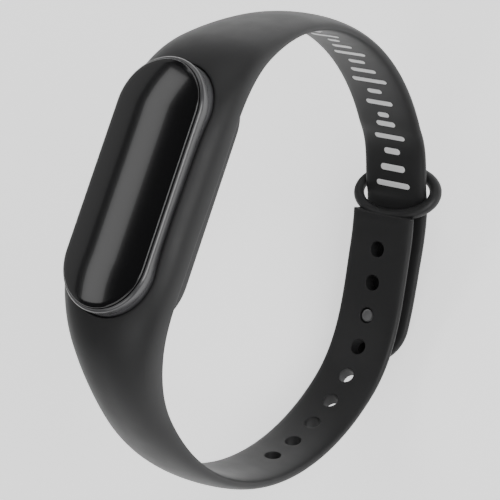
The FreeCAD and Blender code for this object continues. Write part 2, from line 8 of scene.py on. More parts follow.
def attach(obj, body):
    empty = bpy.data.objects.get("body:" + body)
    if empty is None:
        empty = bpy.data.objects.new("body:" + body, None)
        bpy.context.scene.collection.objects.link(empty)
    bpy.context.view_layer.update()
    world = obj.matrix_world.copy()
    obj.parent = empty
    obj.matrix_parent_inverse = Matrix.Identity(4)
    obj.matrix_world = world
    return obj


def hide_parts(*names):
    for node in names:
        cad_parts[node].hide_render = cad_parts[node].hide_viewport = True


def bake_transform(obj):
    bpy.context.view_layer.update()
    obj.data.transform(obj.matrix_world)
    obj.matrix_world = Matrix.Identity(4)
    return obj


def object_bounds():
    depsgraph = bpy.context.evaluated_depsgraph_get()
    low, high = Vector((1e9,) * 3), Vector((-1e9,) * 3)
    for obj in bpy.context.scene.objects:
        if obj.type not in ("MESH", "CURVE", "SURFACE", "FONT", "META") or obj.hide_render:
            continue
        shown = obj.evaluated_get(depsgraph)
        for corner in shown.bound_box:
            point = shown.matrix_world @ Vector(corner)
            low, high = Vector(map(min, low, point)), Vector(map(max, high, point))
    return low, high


# A fitness tracker band in silicone. Lengths in the helpers are millimetres; MM turns them
# into the scene's metres when a mesh is made.
MM = 0.001

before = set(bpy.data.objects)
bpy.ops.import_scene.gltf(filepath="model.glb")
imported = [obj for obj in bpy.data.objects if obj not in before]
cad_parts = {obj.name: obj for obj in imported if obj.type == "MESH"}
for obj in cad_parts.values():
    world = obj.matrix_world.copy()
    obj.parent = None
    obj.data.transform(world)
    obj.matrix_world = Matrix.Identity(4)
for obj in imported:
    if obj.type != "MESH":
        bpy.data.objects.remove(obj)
size_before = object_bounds()

# ---- dimensions shared with the CAD parts ----
LOOP_RADIUS = 39.3                   # of the strap's middle line, where nothing flattens it
LOOP_SHIFT = 1.3                     # how far the loop bulges towards LOOP_SHIFT_ANGLE
LOOP_SHIFT_ANGLE = 215.0
SEAT_FLAT = 3.9                      # how far the loop is pressed in at the display
SEAT_SPREAD = 40.0                   # degrees either side of the display
CLASP_FLAT = 4.3                     # how far it is pressed in at the ring
CLASP_ANGLES = (245.0, 285.0, 300.0, 320.0)
THICKNESS = 2.7
ARM_WIDTH = 13.0
FRAME_WIDTH = 22.3
STUD_SIDE_TAPER = (5.0, 55.0)
HOLE_SIDE_TAPER = (10.0, 40.0)
LIP_RISE = 4.0
LIP_END_RISE = -0.3
LIP_END_AT = 16.0
STUD_SIDE_CROWN = (6.0, 38.0)
HOLE_SIDE_CROWN = (16.0, 66.0)
ARM_ROUNDNESS = 2.0
FRAME_ROUNDNESS = 2.4
INNER_ROUNDNESS = 3.4
EDGE_SHARE = 0.4
KEEPER_ANGLE = 296.0
KEEPER_HALF_WIDTH = 8.0
KEEPER_HALF_HEIGHT = 5.2
KEEPER_LEAN = 42.0
HOLE_COUNT = 9
HOLE_PITCH = 6.3
HOLE_RADIUS = 1.45
FIRST_HOLE = 6.7
STUD_HOLE = 2
OVERLAP_LIFT = 4.5
TIP_LIFT = 3.6
LIFT_START = 18.0
LIFT_END = -1.0
TAIL_LENGTH = 27.0
TIP_THINNING = 0.28
STUD_ARM_HINGES = (390.0, 345.0)
HOLE_ARM_HINGES = (150.0, 200.0)
CAPSULE_Y = -1.6
CAPSULE_LENGTH = 41.2
CAPSULE_WIDTH = 16.6
WINDOW_STEP = 0.6
SHELL_TOP = 38.3
BEZEL_TOP = 39.9
WINDOW_UNDERSIDE = 38.95
WINDOW_RIM = 40.3
WINDOW_CROWN = 41.3
POCKET_CLEARANCE = 0.12
SKIRT_WALL = 0.9
SKIRT_BOTTOM = 30.4
SKIRT_FILLET = 0.85
LEDGE_TOP = 31.2
LEDGE_INSET = 2.4


def smooth(value):
    value = min(max(value, 0.0), 1.0)
    return value * value * (3 - 2 * value)


# ---- the strap's middle line: a shifted circle, pressed in at the display and at the ring ----
def ease(share):
    share = np.clip(share, 0.0, 1.0)
    return 0.5 - 0.5 * np.cos(math.pi * share)


def loop_table():
    """Dense points on the strap's middle line, and the distance along it to each."""
    start, deep, rising, end = CLASP_ANGLES
    angle = np.linspace(90, 450, 3601)
    seat = ease(1 - abs(angle - 90) / SEAT_SPREAD) + ease(1 - abs(angle - 450) / SEAT_SPREAD)
    clasp = ease((angle - start) / (deep - start)) * ease((end - angle) / (end - rising))
    radius = (LOOP_RADIUS + LOOP_SHIFT * np.cos(np.radians(angle - LOOP_SHIFT_ANGLE))
              - SEAT_FLAT * seat - CLASP_FLAT * clasp)
    turn = np.radians(angle)
    places = np.stack([radius * np.cos(turn), radius * np.sin(turn)], 1)
    lengths = np.concatenate([[0], np.cumsum(np.linalg.norm(np.diff(places, axis=0), axis=1))])
    return places, lengths


LOOP, LOOP_AT = loop_table()
LOOP_LENGTH = LOOP_AT[-1]


def loop_point(distance):
    distance = distance % LOOP_LENGTH
    return np.array([np.interp(distance, LOOP_AT, LOOP[:, 0]),
                     np.interp(distance, LOOP_AT, LOOP[:, 1])])


def distance_at(angle):
    turn = math.radians(angle)
    near = np.array([39 * math.cos(turn), 39 * math.sin(turn)])
    return LOOP_AT[np.argmin(np.linalg.norm(LOOP - near, axis=1))]


KEEPER_AT = distance_at(KEEPER_ANGLE)


def loop_station(distance):
    """Point on the middle line with its tangent and outward normal, as (y, z) pairs."""
    along = loop_point(distance + 0.3) - loop_point(distance - 0.3)
    along = along / np.linalg.norm(along)
    return loop_point(distance), along, np.array([along[1], -along[0]])


def tail_lift(beyond):
    rise = OVERLAP_LIFT * smooth((beyond + LIFT_START) / (LIFT_START + LIFT_END))
    return rise + (TIP_LIFT - OVERLAP_LIFT) * min(max(beyond / TAIL_LENGTH, 0), 1)


def lifted_point(distance):
    place, _, outward = loop_station(distance)
    return place + outward * tail_lift(KEEPER_AT - distance)


def stud_station(distance):
    """The same on the stud arm, which rises over the holed arm near the keeper."""
    along = lifted_point(distance + 0.2) - lifted_point(distance - 0.2)
    along = along / np.linalg.norm(along)
    return lifted_point(distance), along, np.array([along[1], -along[0]])


def from_display(distance):
    distance = distance % LOOP_LENGTH
    on_stud_side = distance > LOOP_LENGTH / 2
    return (LOOP_LENGTH - distance if on_stud_side else distance), on_stud_side


def half_width(distance):
    away, on_stud_side = from_display(distance)
    start, end = STUD_SIDE_TAPER if on_stud_side else HOLE_SIDE_TAPER
    return (FRAME_WIDTH + (ARM_WIDTH - FRAME_WIDTH) * smooth((away - start) / (end - start))) / 2


def crown_share(distance):
    away, on_stud_side = from_display(distance)
    start, end = STUD_SIDE_CROWN if on_stud_side else HOLE_SIDE_CROWN
    return 1 - smooth((away - start) / (end - start))


def top_height(distance):
    away = from_display(distance)[0]
    return THICKNESS + (LIP_RISE + LIP_END_RISE * smooth(away / LIP_END_AT)) * crown_share(distance)


# ---- strap surfaces: distance along the loop and share of the half width -> point ----
class Strap:
    """A stretch of strap. bar_from is where it starts to thin down to the keeper's bar."""

    def __init__(self, station, bar_from=None, tip_from=None):
        self.station = station
        self.bar_from = bar_from
        self.tip_from = tip_from

    def shape(self, distance):
        """Half width, reach above and below the widest line, and the top's exponent."""
        wide = half_width(distance)
        crown = crown_share(distance)
        exponent = ARM_ROUNDNESS + (FRAME_ROUNDNESS - ARM_ROUNDNESS) * smooth(crown * 1.6)
        middle = THICKNESS * EDGE_SHARE
        above = top_height(distance) - middle
        below = middle
        if self.bar_from is not None and distance > self.bar_from:
            thin = 1 - 0.16 * smooth((distance - self.bar_from) / 2.5)
            above *= thin
            below *= thin
        if self.tip_from is not None and distance < self.tip_from:
            turn = math.asin(min((self.tip_from - distance) / (ARM_WIDTH / 2), 1))
            wide *= max(math.cos(turn), 0.02)
            above = (THICKNESS * (1 - TIP_THINNING * (1 - math.cos(turn)))) - middle
        return wide, above, below, exponent

    def place(self, distance, across, up):
        """across and up are millimetres from the middle line, X and outward."""
        point, _, outward = self.station(distance)
        return Vector((across, point[0] + outward[0] * up, point[1] + outward[1] * up))

    def on_face(self, distance, share, face, sink=0.0):
        wide, above, below, exponent = self.shape(distance)
        share = min(max(share, -1), 1)
        if face == "outer":
            up = above * (1 - abs(share) ** exponent) ** (1 / exponent) - sink
        else:
            up = -below * (1 - abs(share) ** INNER_ROUNDNESS) ** (1 / INNER_ROUNDNESS) + sink
        return self.place(distance, wide * share, up - THICKNESS / 2 + THICKNESS * EDGE_SHARE)


def edge_points(wide, reach, exponent, start, count):
    """(share, up) points from a share of the half width round to the edge, evenly spaced."""
    first = math.acos(min(start ** (exponent / 2), 1))
    turns = np.linspace(first, 0, 160)
    shares = np.cos(turns) ** (2 / exponent)
    ups = reach * np.abs(np.sin(turns)) ** (2 / exponent)
    shares[0], shares[-1], ups[-1] = start, 1, 0
    steps = np.hypot(np.diff(shares) * wide, np.diff(ups))
    run = np.concatenate([[0], np.cumsum(steps)])
    wanted = np.linspace(0, run[-1], count + 1)
    return list(zip(np.interp(wanted, run, shares), np.interp(wanted, run, ups)))


class Builder:
    """Collects vertices and faces for one mesh."""

    def __init__(self):
        self.points = []
        self.faces = []

    def point(self, place):
        self.points.append(Vector(place))
        return len(self.points) - 1

    def bridge(self, first, second, closed=True):
        count = len(first)
        for i in range(count if closed else count - 1):
            j = (i + 1) % count
            self.faces.append((first[i], first[j], second[j], second[i]))

    def finish(self, name, material, merge=None):
        mesh = bpy.data.meshes.new(name)
        mesh.from_pydata([p * MM for p in self.points], [], self.faces)
        import bmesh
        work = bmesh.new()
        work.from_mesh(mesh)
        if merge:
            bmesh.ops.remove_doubles(work, verts=work.verts, dist=merge * MM)
        bmesh.ops.recalc_face_normals(work, faces=work.faces)
        work.to_mesh(mesh)
        work.free()
        mesh.shade_smooth()
        mesh.materials.append(material)
        made = bpy.data.objects.new(name, mesh)
        bpy.context.scene.collection.objects.link(made)
        return made


def strap_grid(build, strap, distances, middle_share, columns, edge_count, windows=()):
    """Rings of points round the strap. A window leaves a patch of both faces open.

    Each window is (first row, last row); its columns are all the middle ones. Returns for
    each window the outer and inner boundary loops as lists of (index, distance, share)."""
    rows = []
    for distance in distances:
        wide, above, below, exponent = strap.shape(distance)
        lift = -THICKNESS / 2 + THICKNESS * EDGE_SHARE
        middle = np.linspace(-middle_share, middle_share, columns + 1)
        top = [(u, above * (1 - abs(u) ** exponent) ** (1 / exponent)) for u in middle]
        right = edge_points(wide, above, exponent, middle_share, edge_count)[1:]
        under = edge_points(wide, -below, INNER_ROUNDNESS, middle_share, edge_count)
        right += under[::-1][1:]
        bottom = [(u, -below * (1 - abs(u) ** INNER_ROUNDNESS) ** (1 / INNER_ROUNDNESS))
                  for u in middle[::-1]][1:]
        ring = top + right + bottom
        ring += [(-u, up) for u, up in right[-2::-1]]
        rows.append([build.point(strap.place(distance, wide * u, up + lift)) for u, up in ring])
    size = len(rows[0])
    bottom_start = columns + 2 * edge_count
    hidden = set()
    loops = []
    for low, high in windows:
        for i in range(low, high):
            for j in range(columns):
                hidden.add((i, j))
                hidden.add((i, bottom_start + j))
        middle = np.linspace(-middle_share, middle_share, columns + 1)
        order = [(low, j) for j in range(columns)]
        order += [(i, columns) for i in range(low, high)]
        order += [(high, j) for j in range(columns, 0, -1)]
        order += [(i, 0) for i in range(high, low, -1)]
        outer = [(rows[i][j], distances[i], middle[j]) for i, j in order]
        inner = [(rows[i][(bottom_start + columns - j) % size], distances[i], middle[j])
                 for i, j in order]
        loops.append((outer, inner))
    for i in range(len(rows) - 1):
        for j in range(size):
            if (i, j) not in hidden:
                k = (j + 1) % size
                build.faces.append((rows[i][j], rows[i][k], rows[i + 1][k], rows[i + 1][j]))
    return rows, loops


def fill_to(build, strap, face, loop, target, rings):
    """Rings of quads on one face from a window's boundary in to a loop of (distance, share)."""
    last = [index for index, _, _ in loop]
    for step in range(1, rings + 1):
        f = step / rings
        f = f + 0.35 * f * (1 - f)
        new = []
        for (_, distance, share), (goal, goal_share) in zip(loop, target):
            new.append(build.point(strap.on_face(distance + (goal - distance) * f,
                                                 share + (goal_share - share) * f, face)))
        build.bridge(last, new)
        last = new
    return last


def curve_through(build, last, starts, controls, ends, steps):
    """Rings along a quadratic curve for every point of a loop."""
    for step in range(1, steps + 1):
        t = step / steps
        new = [build.point(a * (1 - t) ** 2 + b * 2 * t * (1 - t) + c * t * t)
               for a, b, c in zip(starts, controls, ends)]
        build.bridge(last, new)
        last = new
    return last


# ---- materials ----
def new_material(name, color, rough, **values):
    """A principled material whose tone and roughness vary slightly over the surface."""
    material = bpy.data.materials.new(name)
    material.use_nodes = True
    nodes = material.node_tree.nodes
    links = material.node_tree.links
    shader = nodes["Principled BSDF"]
    where = nodes.new("ShaderNodeTexCoord")
    noise = nodes.new("ShaderNodeTexNoise")
    noise.inputs["Scale"].default_value = values.pop("scale", 900.0)
    noise.inputs["Detail"].default_value = 3.0
    links.new(where.outputs["Object"], noise.inputs["Vector"])
    tint = nodes.new("ShaderNodeMixRGB")
    depth = values.pop("variation", 0.12)
    tint.inputs["Color1"].default_value = [c * (1 - depth) for c in color] + [1]
    tint.inputs["Color2"].default_value = [min(c * (1 + depth), 1) for c in color] + [1]
    links.new(noise.outputs["Fac"], tint.inputs["Fac"])
    links.new(tint.outputs["Color"], shader.inputs["Base Color"])
    spread = nodes.new("ShaderNodeMapRange")
    rough_depth = values.pop("rough_variation", 0.06)
    spread.inputs["To Min"].default_value = max(rough - rough_depth, 0)
    spread.inputs["To Max"].default_value = min(rough + rough_depth, 1)
    links.new(noise.outputs["Fac"], spread.inputs["Value"])
    links.new(spread.outputs["Result"], shader.inputs["Roughness"])
    grain = values.pop("grain", 0.0)
    if grain:
        fine = nodes.new("ShaderNodeTexNoise")
        fine.inputs["Scale"].default_value = values.pop("grain_scale", 9000.0)
        fine.inputs["Detail"].default_value = 2.0
        links.new(where.outputs["Object"], fine.inputs["Vector"])
        bump = nodes.new("ShaderNodeBump")
        bump.inputs["Strength"].default_value = grain
        bump.inputs["Distance"].default_value = 0.00002
        links.new(fine.outputs["Fac"], bump.inputs["Height"])
        links.new(bump.outputs["Normal"], shader.inputs["Normal"])
    for socket, value in values.items():
        shader.inputs[socket.replace("_", " ")].default_value = value
    return material


silicone = new_material("black_silicone", (0.015, 0.015, 0.0155), 0.5, scale=300.0, grain=0.25,
                        variation=0.06, Specular_IOR_Level=0.32)
glass_black = new_material("window_black", (0.004, 0.004, 0.0045), 0.16, scale=60.0,
                           rough_variation=0.01, IOR=1.5, Coat_Weight=0.3, Coat_Roughness=0.02)
bezel_black = new_material("bezel_black", (0.05, 0.05, 0.052), 0.24, scale=400.0, IOR=1.6)
shell_black = new_material("shell_black", (0.055, 0.055, 0.058), 0.38, grain=0.2, IOR=1.5)
print_white = new_material("print_grey", (0.70, 0.70, 0.70), 0.5, scale=1500.0, variation=0.04)
stud_grey = new_material("stud_grey", (0.10, 0.10, 0.102), 0.32, Metallic=0.6)
seal_black = new_material("seal_rubber", (0.02, 0.02, 0.02), 0.6)
film_dark = new_material("film", (0.12, 0.12, 0.13), 0.3)
carrier_grey = new_material("carrier_plastic", (0.12, 0.12, 0.125), 0.5, grain=0.2)
board_green = new_material("board_green", (0.015, 0.10, 0.05), 0.4, scale=2500.0, variation=0.2)
panel_dark = new_material("panel_glass", (0.02, 0.02, 0.03), 0.12)
film_amber = new_material("flex_amber", (0.42, 0.20, 0.04), 0.35)
moulded_tan = new_material("connector_plastic", (0.25, 0.22, 0.17), 0.5)
chip_black = new_material("chip_black", (0.03, 0.03, 0.03), 0.5, grain=0.2)
ceramic = new_material("chip_ceramic", (0.45, 0.40, 0.32), 0.6)
can_steel = new_material("can_steel", (0.55, 0.55, 0.56), 0.3, Metallic=1.0)
foil = new_material("cell_foil", (0.62, 0.62, 0.64), 0.38, Metallic=0.9, scale=2000.0)
foam = new_material("foam", (0.05, 0.05, 0.05), 0.9, scale=4000.0, variation=0.4)
tungsten = new_material("weight_metal", (0.35, 0.35, 0.37), 0.45, Metallic=1.0)
smoked = new_material("sensor_plastic", (0.012, 0.014, 0.013), 0.08, Coat_Weight=0.4)
led_green = new_material("led_body", (0.42, 0.68, 0.35), 0.2)
diode_dark = new_material("photodiode_black", (0.03, 0.02, 0.04), 0.15)
gold = new_material("contact_gold", (0.75, 0.55, 0.24), 0.25, Metallic=1.0)

# ---- shown CAD pieces ----
shown = {
    "rear_shell": shell_black, "shell_seal": seal_black, "window_gasket": seal_black,
    "touch_electrode": film_dark, "inner_chassis": carrier_grey, "main_board": board_green,
    "oled_panel": panel_dark, "display_flex": film_amber, "flex_connector": moulded_tan,
    "bluetooth_chip": chip_black, "memory_chip": chip_black, "motion_sensor": chip_black,
    "charger_chip": chip_black, "clock_crystal": can_steel, "chip_antenna": ceramic,
    "board_passives": ceramic, "battery_cell": foil, "battery_protection_board": board_green,
    "battery_foam": foam, "motor_can": can_steel, "motor_base": can_steel,
    "motor_shaft": can_steel, "motor_rotor": carrier_grey, "motor_weight": tungsten,
    "heart_rate_window": smoked, "heart_rate_board": board_green, "green_leds": led_green,
    "photodiode": diode_dark, "light_baffle": seal_black, "charging_contacts": gold,
    "contact_seals": seal_black, "contact_springs": gold,
}
for node, material in shown.items():
    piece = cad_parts[node]
    piece.data.materials.clear()
    piece.data.materials.append(material)


# ---- the pill outline ----
def pill_outline(toward, offset):
    """The point of the pill outline, grown by offset, that lies nearest to (x, y)."""
    radius = CAPSULE_WIDTH / 2 + offset
    reach = (CAPSULE_LENGTH - CAPSULE_WIDTH) / 2
    x, y = toward[0], toward[1] - CAPSULE_Y
    if abs(y) <= reach:
        return math.copysign(radius, x), y + CAPSULE_Y
    centre = math.copysign(reach, y)
    away = math.hypot(x, y - centre)
    return x / away * radius, CAPSULE_Y + centre + (y - centre) / away * radius


def solve_on_face(strap, x, y, face):
    """(distance, share) of the place on a face that stands over (x, y) near the display."""
    low, high = -32.0, 32.0
    for _ in range(34):
        middle = (low + high) / 2
        wide = strap.shape(middle)[0]
        share = min(max(x / wide, -0.999), 0.999)
        if strap.on_face(middle, share, face).y > y:
            low = middle
        else:
            high = middle
    return middle, x / strap.shape(middle)[0]


# ---- the frame: the wide stretch with the capsule's pocket ----
STUD_HINGE_AT = [distance_at(angle) for angle in STUD_ARM_HINGES]
HOLE_HINGE_AT = [distance_at(angle) for angle in HOLE_ARM_HINGES]
BEND_HALF = 7.0
frame_start = STUD_HINGE_AT[0] - LOOP_LENGTH + BEND_HALF
frame_end = HOLE_HINGE_AT[0] - BEND_HALF
SEAM_STEP = 0.6


def rows_between(start, end, step=SEAM_STEP):
    count = max(2, round(abs(end - start) / step))
    return [start + (end - start) * i / count for i in range(count + 1)]


def make_frame():
    build = Builder()
    strap = Strap(loop_station)
    window_start, window_end = -24.6, 27.0
    before = rows_between(frame_start, window_start)
    inside = rows_between(window_start, window_end, 0.8)
    after = rows_between(window_end, frame_end)
    distances = before[:-1] + inside + after[1:]
    window = (len(before) - 1, len(before) - 1 + len(inside) - 1)
    _, loops = strap_grid(build, strap, distances, 0.86, 26, 12, [window])
    outer, inner = loops[0]

    def toward(loop, face):
        return [strap.on_face(distance, share, face) for _, distance, share in loop]

    lip = 0.55
    outer_goals = toward(outer, "outer")
    start = [pill_outline(p, POCKET_CLEARANCE + lip) for p in outer_goals]
    solved = [solve_on_face(strap, x, y, "outer") for x, y in start]
    last = fill_to(build, strap, "outer", outer, solved, 9)
    starts = [strap.on_face(s, u, "outer") for s, u in solved]
    over = [pill_outline(p, POCKET_CLEARANCE) for p in outer_goals]
    corner = [strap.on_face(*solve_on_face(strap, x, y, "outer"), "outer") for x, y in over]
    wall = [Vector((p.x, p.y, p.z - lip)) for p in corner]
    last = curve_through(build, last, starts, corner, wall, 7)
    for height_share in (0.3, 0.65, 1.0):
        new = [build.point((p.x, p.y, p.z + (LEDGE_TOP - p.z) * height_share)) for p in wall]
        build.bridge(last, new)
        last = new
    inset = [pill_outline(p, -LEDGE_INSET) for p in outer_goals]
    for height in (LEDGE_TOP, SKIRT_BOTTOM + 0.25):
        new = [build.point((x, y, height)) for x, y in inset]
        build.bridge(last, new)
        last = new
    skirt = POCKET_CLEARANCE + SKIRT_WALL
    fillet = 0.8
    inner_goals = toward(inner, "inner")
    start = [pill_outline(p, skirt + fillet) for p in inner_goals]
    solved = [solve_on_face(strap, x, y, "inner") for x, y in start]
    foot = [pill_outline(p, skirt) for p in inner_goals]
    corner = [strap.on_face(*solve_on_face(strap, x, y, "inner"), "inner") for x, y in foot]
    low = [min(SKIRT_BOTTOM, p.z - 0.3) for p in corner]
    bottom_in = [pill_outline(p, -LEDGE_INSET + 0.25) for p in inner_goals]
    bottom_out = [pill_outline(p, skirt - SKIRT_FILLET) for p in inner_goals]
    for points in (bottom_in, bottom_out):
        heights = [SKIRT_BOTTOM] * len(low) if points is bottom_in else low
        new = [build.point((x, y, z)) for (x, y), z in zip(points, heights)]
        build.bridge(last, new)
        last = new
    begin = [Vector((x, y, z)) for (x, y), z in zip(bottom_out, low)]
    turn = [Vector((p.x, p.y, z)) for p, z in zip(corner, low)]
    rise = [Vector((p.x, p.y, min(z + SKIRT_FILLET, (z + p.z) / 2))) for p, z in zip(corner, low)]
    last = curve_through(build, last, begin, turn, rise, 5)
    under = [Vector((p.x, p.y, max(p.z - fillet, r.z))) for p, r in zip(corner, rise)]
    new = [build.point(p) for p in under]
    build.bridge(last, new)
    last = new
    ends = [strap.on_face(s, u, "inner") for s, u in solved]
    last = curve_through(build, last, under, corner, ends, 6)
    inner_last = fill_to(build, strap, "inner", inner, solved, 8)
    build.bridge(last, inner_last)
    made = build.finish("strap_frame_skin", silicone, merge=0.004)
    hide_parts("strap_frame")
    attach(made, "frame")
    return made


make_frame()


def blend_to_tail(piece):
    """Bakes the piece's transform into its mesh; the piece is not bent towards the tail."""
    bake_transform(piece)


def plain_arm(name, strap, start, end):
    build = Builder()
    strap_grid(build, strap, rows_between(start, end), 0.6, 14, 12)
    return build.finish(name, silicone)


stud_strap = Strap(stud_station)
hole_strap = Strap(loop_station)
stud_seams = [
    STUD_HINGE_AT[0] + BEND_HALF,
    (STUD_HINGE_AT[0] + STUD_HINGE_AT[1]) / 2,
    KEEPER_AT + LIFT_START + 1.0,
]
hole_seams = [HOLE_HINGE_AT[0] - BEND_HALF, (HOLE_HINGE_AT[0] + HOLE_HINGE_AT[1]) / 2]

stud_upper = plain_arm("stud_arm_upper_skin", stud_strap, stud_seams[1], stud_seams[0])
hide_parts("stud_arm_upper")
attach(stud_upper, "frame")

stud_lower = plain_arm("stud_arm_middle_skin", stud_strap, stud_seams[2], stud_seams[1])
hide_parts("stud_arm_upper", "stud_arm_lower")
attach(stud_lower, "frame")

hole_upper = plain_arm("hole_arm_upper_skin", hole_strap, hole_seams[0], hole_seams[1])
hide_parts("hole_arm_upper")
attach(hole_upper, "frame")


def make_tail():
    """The stud arm's free end through the keeper, with a round tip."""
    build = Builder()
    tip_from = KEEPER_AT - TAIL_LENGTH + ARM_WIDTH / 2
    strap = Strap(stud_station, tip_from=tip_from)
    distances = rows_between(stud_seams[2], tip_from)
    turns = np.linspace(0, math.pi / 2, 26)[1:]
    distances += [tip_from - ARM_WIDTH / 2 * math.sin(turn) for turn in turns]
    rows, _ = strap_grid(build, strap, distances, 0.6, 14, 12)
    build.faces.append(tuple(rows[-1]))
    made = build.finish("strap_tail_skin", silicone)
    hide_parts("stud_arm_lower", "strap_tail")
    blend_to_tail(made)
    return made


make_tail()


def make_holed_arm():
    """The lower part of the holed arm. Every hole has a soft rounded rim on both faces."""
    build = Builder()
    strap = Strap(loop_station, bar_from=KEEPER_AT - 3.0)
    half = HOLE_PITCH / 2
    cells = 14
    centres = [KEEPER_AT - FIRST_HOLE - HOLE_PITCH * i for i in range(HOLE_COUNT)][::-1]
    distances = rows_between(hole_seams[1], centres[0] - half)
    windows = []
    for centre in centres:
        windows.append((len(distances) - 1, len(distances) - 1 + cells))
        distances += rows_between(centre - half, centre + half, HOLE_PITCH / cells)[1:]
    distances += rows_between(centres[-1] + half, KEEPER_AT + 0.2, 0.35)[1:]
    share = half / (ARM_WIDTH / 2)
    rows, loops = strap_grid(build, strap, distances, share, cells, 12, windows)
    build.faces.append(tuple(rows[-1]))
    rim = 0.14
    for centre, (outer, inner) in zip(centres, loops):
        _, _, outward = strap.station(centre)
        middle = strap.place(centre, 0, 0)
        up = Vector((0, outward[0], outward[1]))
        side = Vector((1, 0, 0))
        forward = up.cross(side)
        last = {}
        ring = {}
        for face, loop in (("outer", outer), ("inner", inner)):
            goals = []
            turns = []
            for _, distance, u in loop:
                turn = math.atan2(distance - centre, u * ARM_WIDTH / 2)
                turns.append(turn)
                reach = HOLE_RADIUS + rim
                goals.append((centre + reach * math.sin(turn),
                              reach * math.cos(turn) / (ARM_WIDTH / 2)))
            last[face] = fill_to(build, strap, face, loop, goals, 5)
            starts = [strap.on_face(s, u, face) for s, u in goals]
            sign = 1 if face == "outer" else -1
            level = [(p - middle).dot(up) for p in starts]
            flow = 1 if (strap.place(centre + 1, 0, 0) - middle).dot(forward) > 0 else -1
            radial = [side * math.cos(t) + forward * flow * math.sin(t) for t in turns]
            corner = [middle + r * HOLE_RADIUS + up * v for r, v in zip(radial, level)]
            ends = [middle + r * HOLE_RADIUS + up * (v - sign * rim) for r, v in zip(radial, level)]
            last[face] = curve_through(build, last[face], starts, corner, ends, 4)
            ring[face] = ends
        for f in (0.25, 0.5, 0.75):
            new = [build.point(a * (1 - f) + b * f) for a, b in zip(ring["outer"], ring["inner"])]
            build.bridge(last["outer"], new)
            last["outer"] = new
        build.bridge(last["outer"], last["inner"])
    made = build.finish("holed_arm_skin", silicone)
    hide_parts("hole_arm_upper", "hole_arm_lower")
    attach(made, "frame")
    return made


make_holed_arm()


# ---- the keeper ----
def make_keeper():
    build = Builder()
    point, along, outward = loop_station(KEEPER_AT)
    bar = Vector((0, point[0], point[1]))
    tangent = Vector((0, along[0], along[1]))
    out = Vector((0, outward[0], outward[1]))
    lean = math.radians(KEEPER_LEAN)
    upright = out * math.cos(lean) + tangent * math.sin(lean)
    centre = bar + upright * KEEPER_HALF_HEIGHT
    normal = Vector((1, 0, 0)).cross(upright)
    rings = []
    around, along_count = 28, 160
    for i in range(along_count):
        turn = 2 * math.pi * i / along_count
        place = (centre + Vector((KEEPER_HALF_WIDTH * math.cos(turn), 0, 0))
                 + upright * KEEPER_HALF_HEIGHT * math.sin(turn))
        flow = (Vector((-KEEPER_HALF_WIDTH * math.sin(turn), 0, 0))
                + upright * KEEPER_HALF_HEIGHT * math.cos(turn)).normalized()
        across = flow.cross(normal).normalized()
        thick = 1.06 + 0.08 * math.cos(turn)
        rings.append([build.point(place + across * thick * math.cos(2 * math.pi * k / around)
                                  + normal * thick * math.sin(2 * math.pi * k / around))
                      for k in range(around)])
    for i in range(along_count):
        build.bridge(rings[i], rings[(i + 1) % along_count])
    made = build.finish("keeper_ring", silicone)
    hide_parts("keeper_loop")
    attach(made, "frame")
    return made


make_keeper()


# ---- the stud: a turned pin with a round cap on the strap's outer side ----
def make_stud():
    build = Builder()
    beyond = FIRST_HOLE + STUD_HOLE * HOLE_PITCH
    point, _, outward = loop_station(KEEPER_AT - beyond)
    base = Vector((0, point[0], point[1]))
    up = Vector((0, outward[0], outward[1]))
    side = Vector((1, 0, 0))
    forward = up.cross(side)
    outer = tail_lift(beyond) + THICKNESS / 2
    profile = [
        (0.0, -1.0), (0.6, -1.02), (1.0, -1.05), (1.15, -1.03), (1.27, -0.94), (1.32, -0.8),
        (1.32, -0.2), (1.3, 0.1), (1.2, 0.35), (1.0, 0.6), (1.0, outer - 0.5),
        (2.45, outer - 0.5), (2.58, outer - 0.35), (2.6, outer - 0.1), (2.52, outer + 0.12),
        (2.3, outer + 0.26), (1.9, outer + 0.3), (1.0, outer + 0.22), (0.0, outer + 0.2),
    ]
    around = 64
    last = None
    for radius, height in profile:
        ring = []
        for k in range(around):
            turn = 2 * math.pi * k / around
            ring.append(build.point(base + up * height + side * radius * math.cos(turn)
                                    + forward * radius * math.sin(turn)))
        if last:
            build.bridge(last, ring)
        last = ring
    made = build.finish("clasp_stud_turned", stud_grey, merge=0.001)
    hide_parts("clasp_stud")
    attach(made, "tail")
    return made


make_stud()


# ---- the window and its collar ----
def pill_rings(build, profile, count=220):
    """Rings round the pill for (offset from the capsule's side, height) pairs."""
    radius = CAPSULE_WIDTH / 2
    reach = (CAPSULE_LENGTH - CAPSULE_WIDTH) / 2
    half = count // 4
    stations = [(1, reach * (2 * i / half - 1), 0) for i in range(half)]
    stations += [(0, reach, math.pi * i / half) for i in range(half)]
    stations += [(-1, reach * (1 - 2 * i / half), 0) for i in range(half)]
    stations += [(0, -reach, math.pi + math.pi * i / half) for i in range(half)]
    last = None
    for offset, height in profile:
        ring = []
        for side, y, turn in stations:
            if side:
                x, along = side * (radius + offset), y
            else:
                x = math.cos(turn) * (radius + offset)
                along = y + math.sin(turn) * (radius + offset)
            ring.append(build.point((x, CAPSULE_Y + along, height)))
        if last:
            build.bridge(last, ring)
        last = ring
    return last


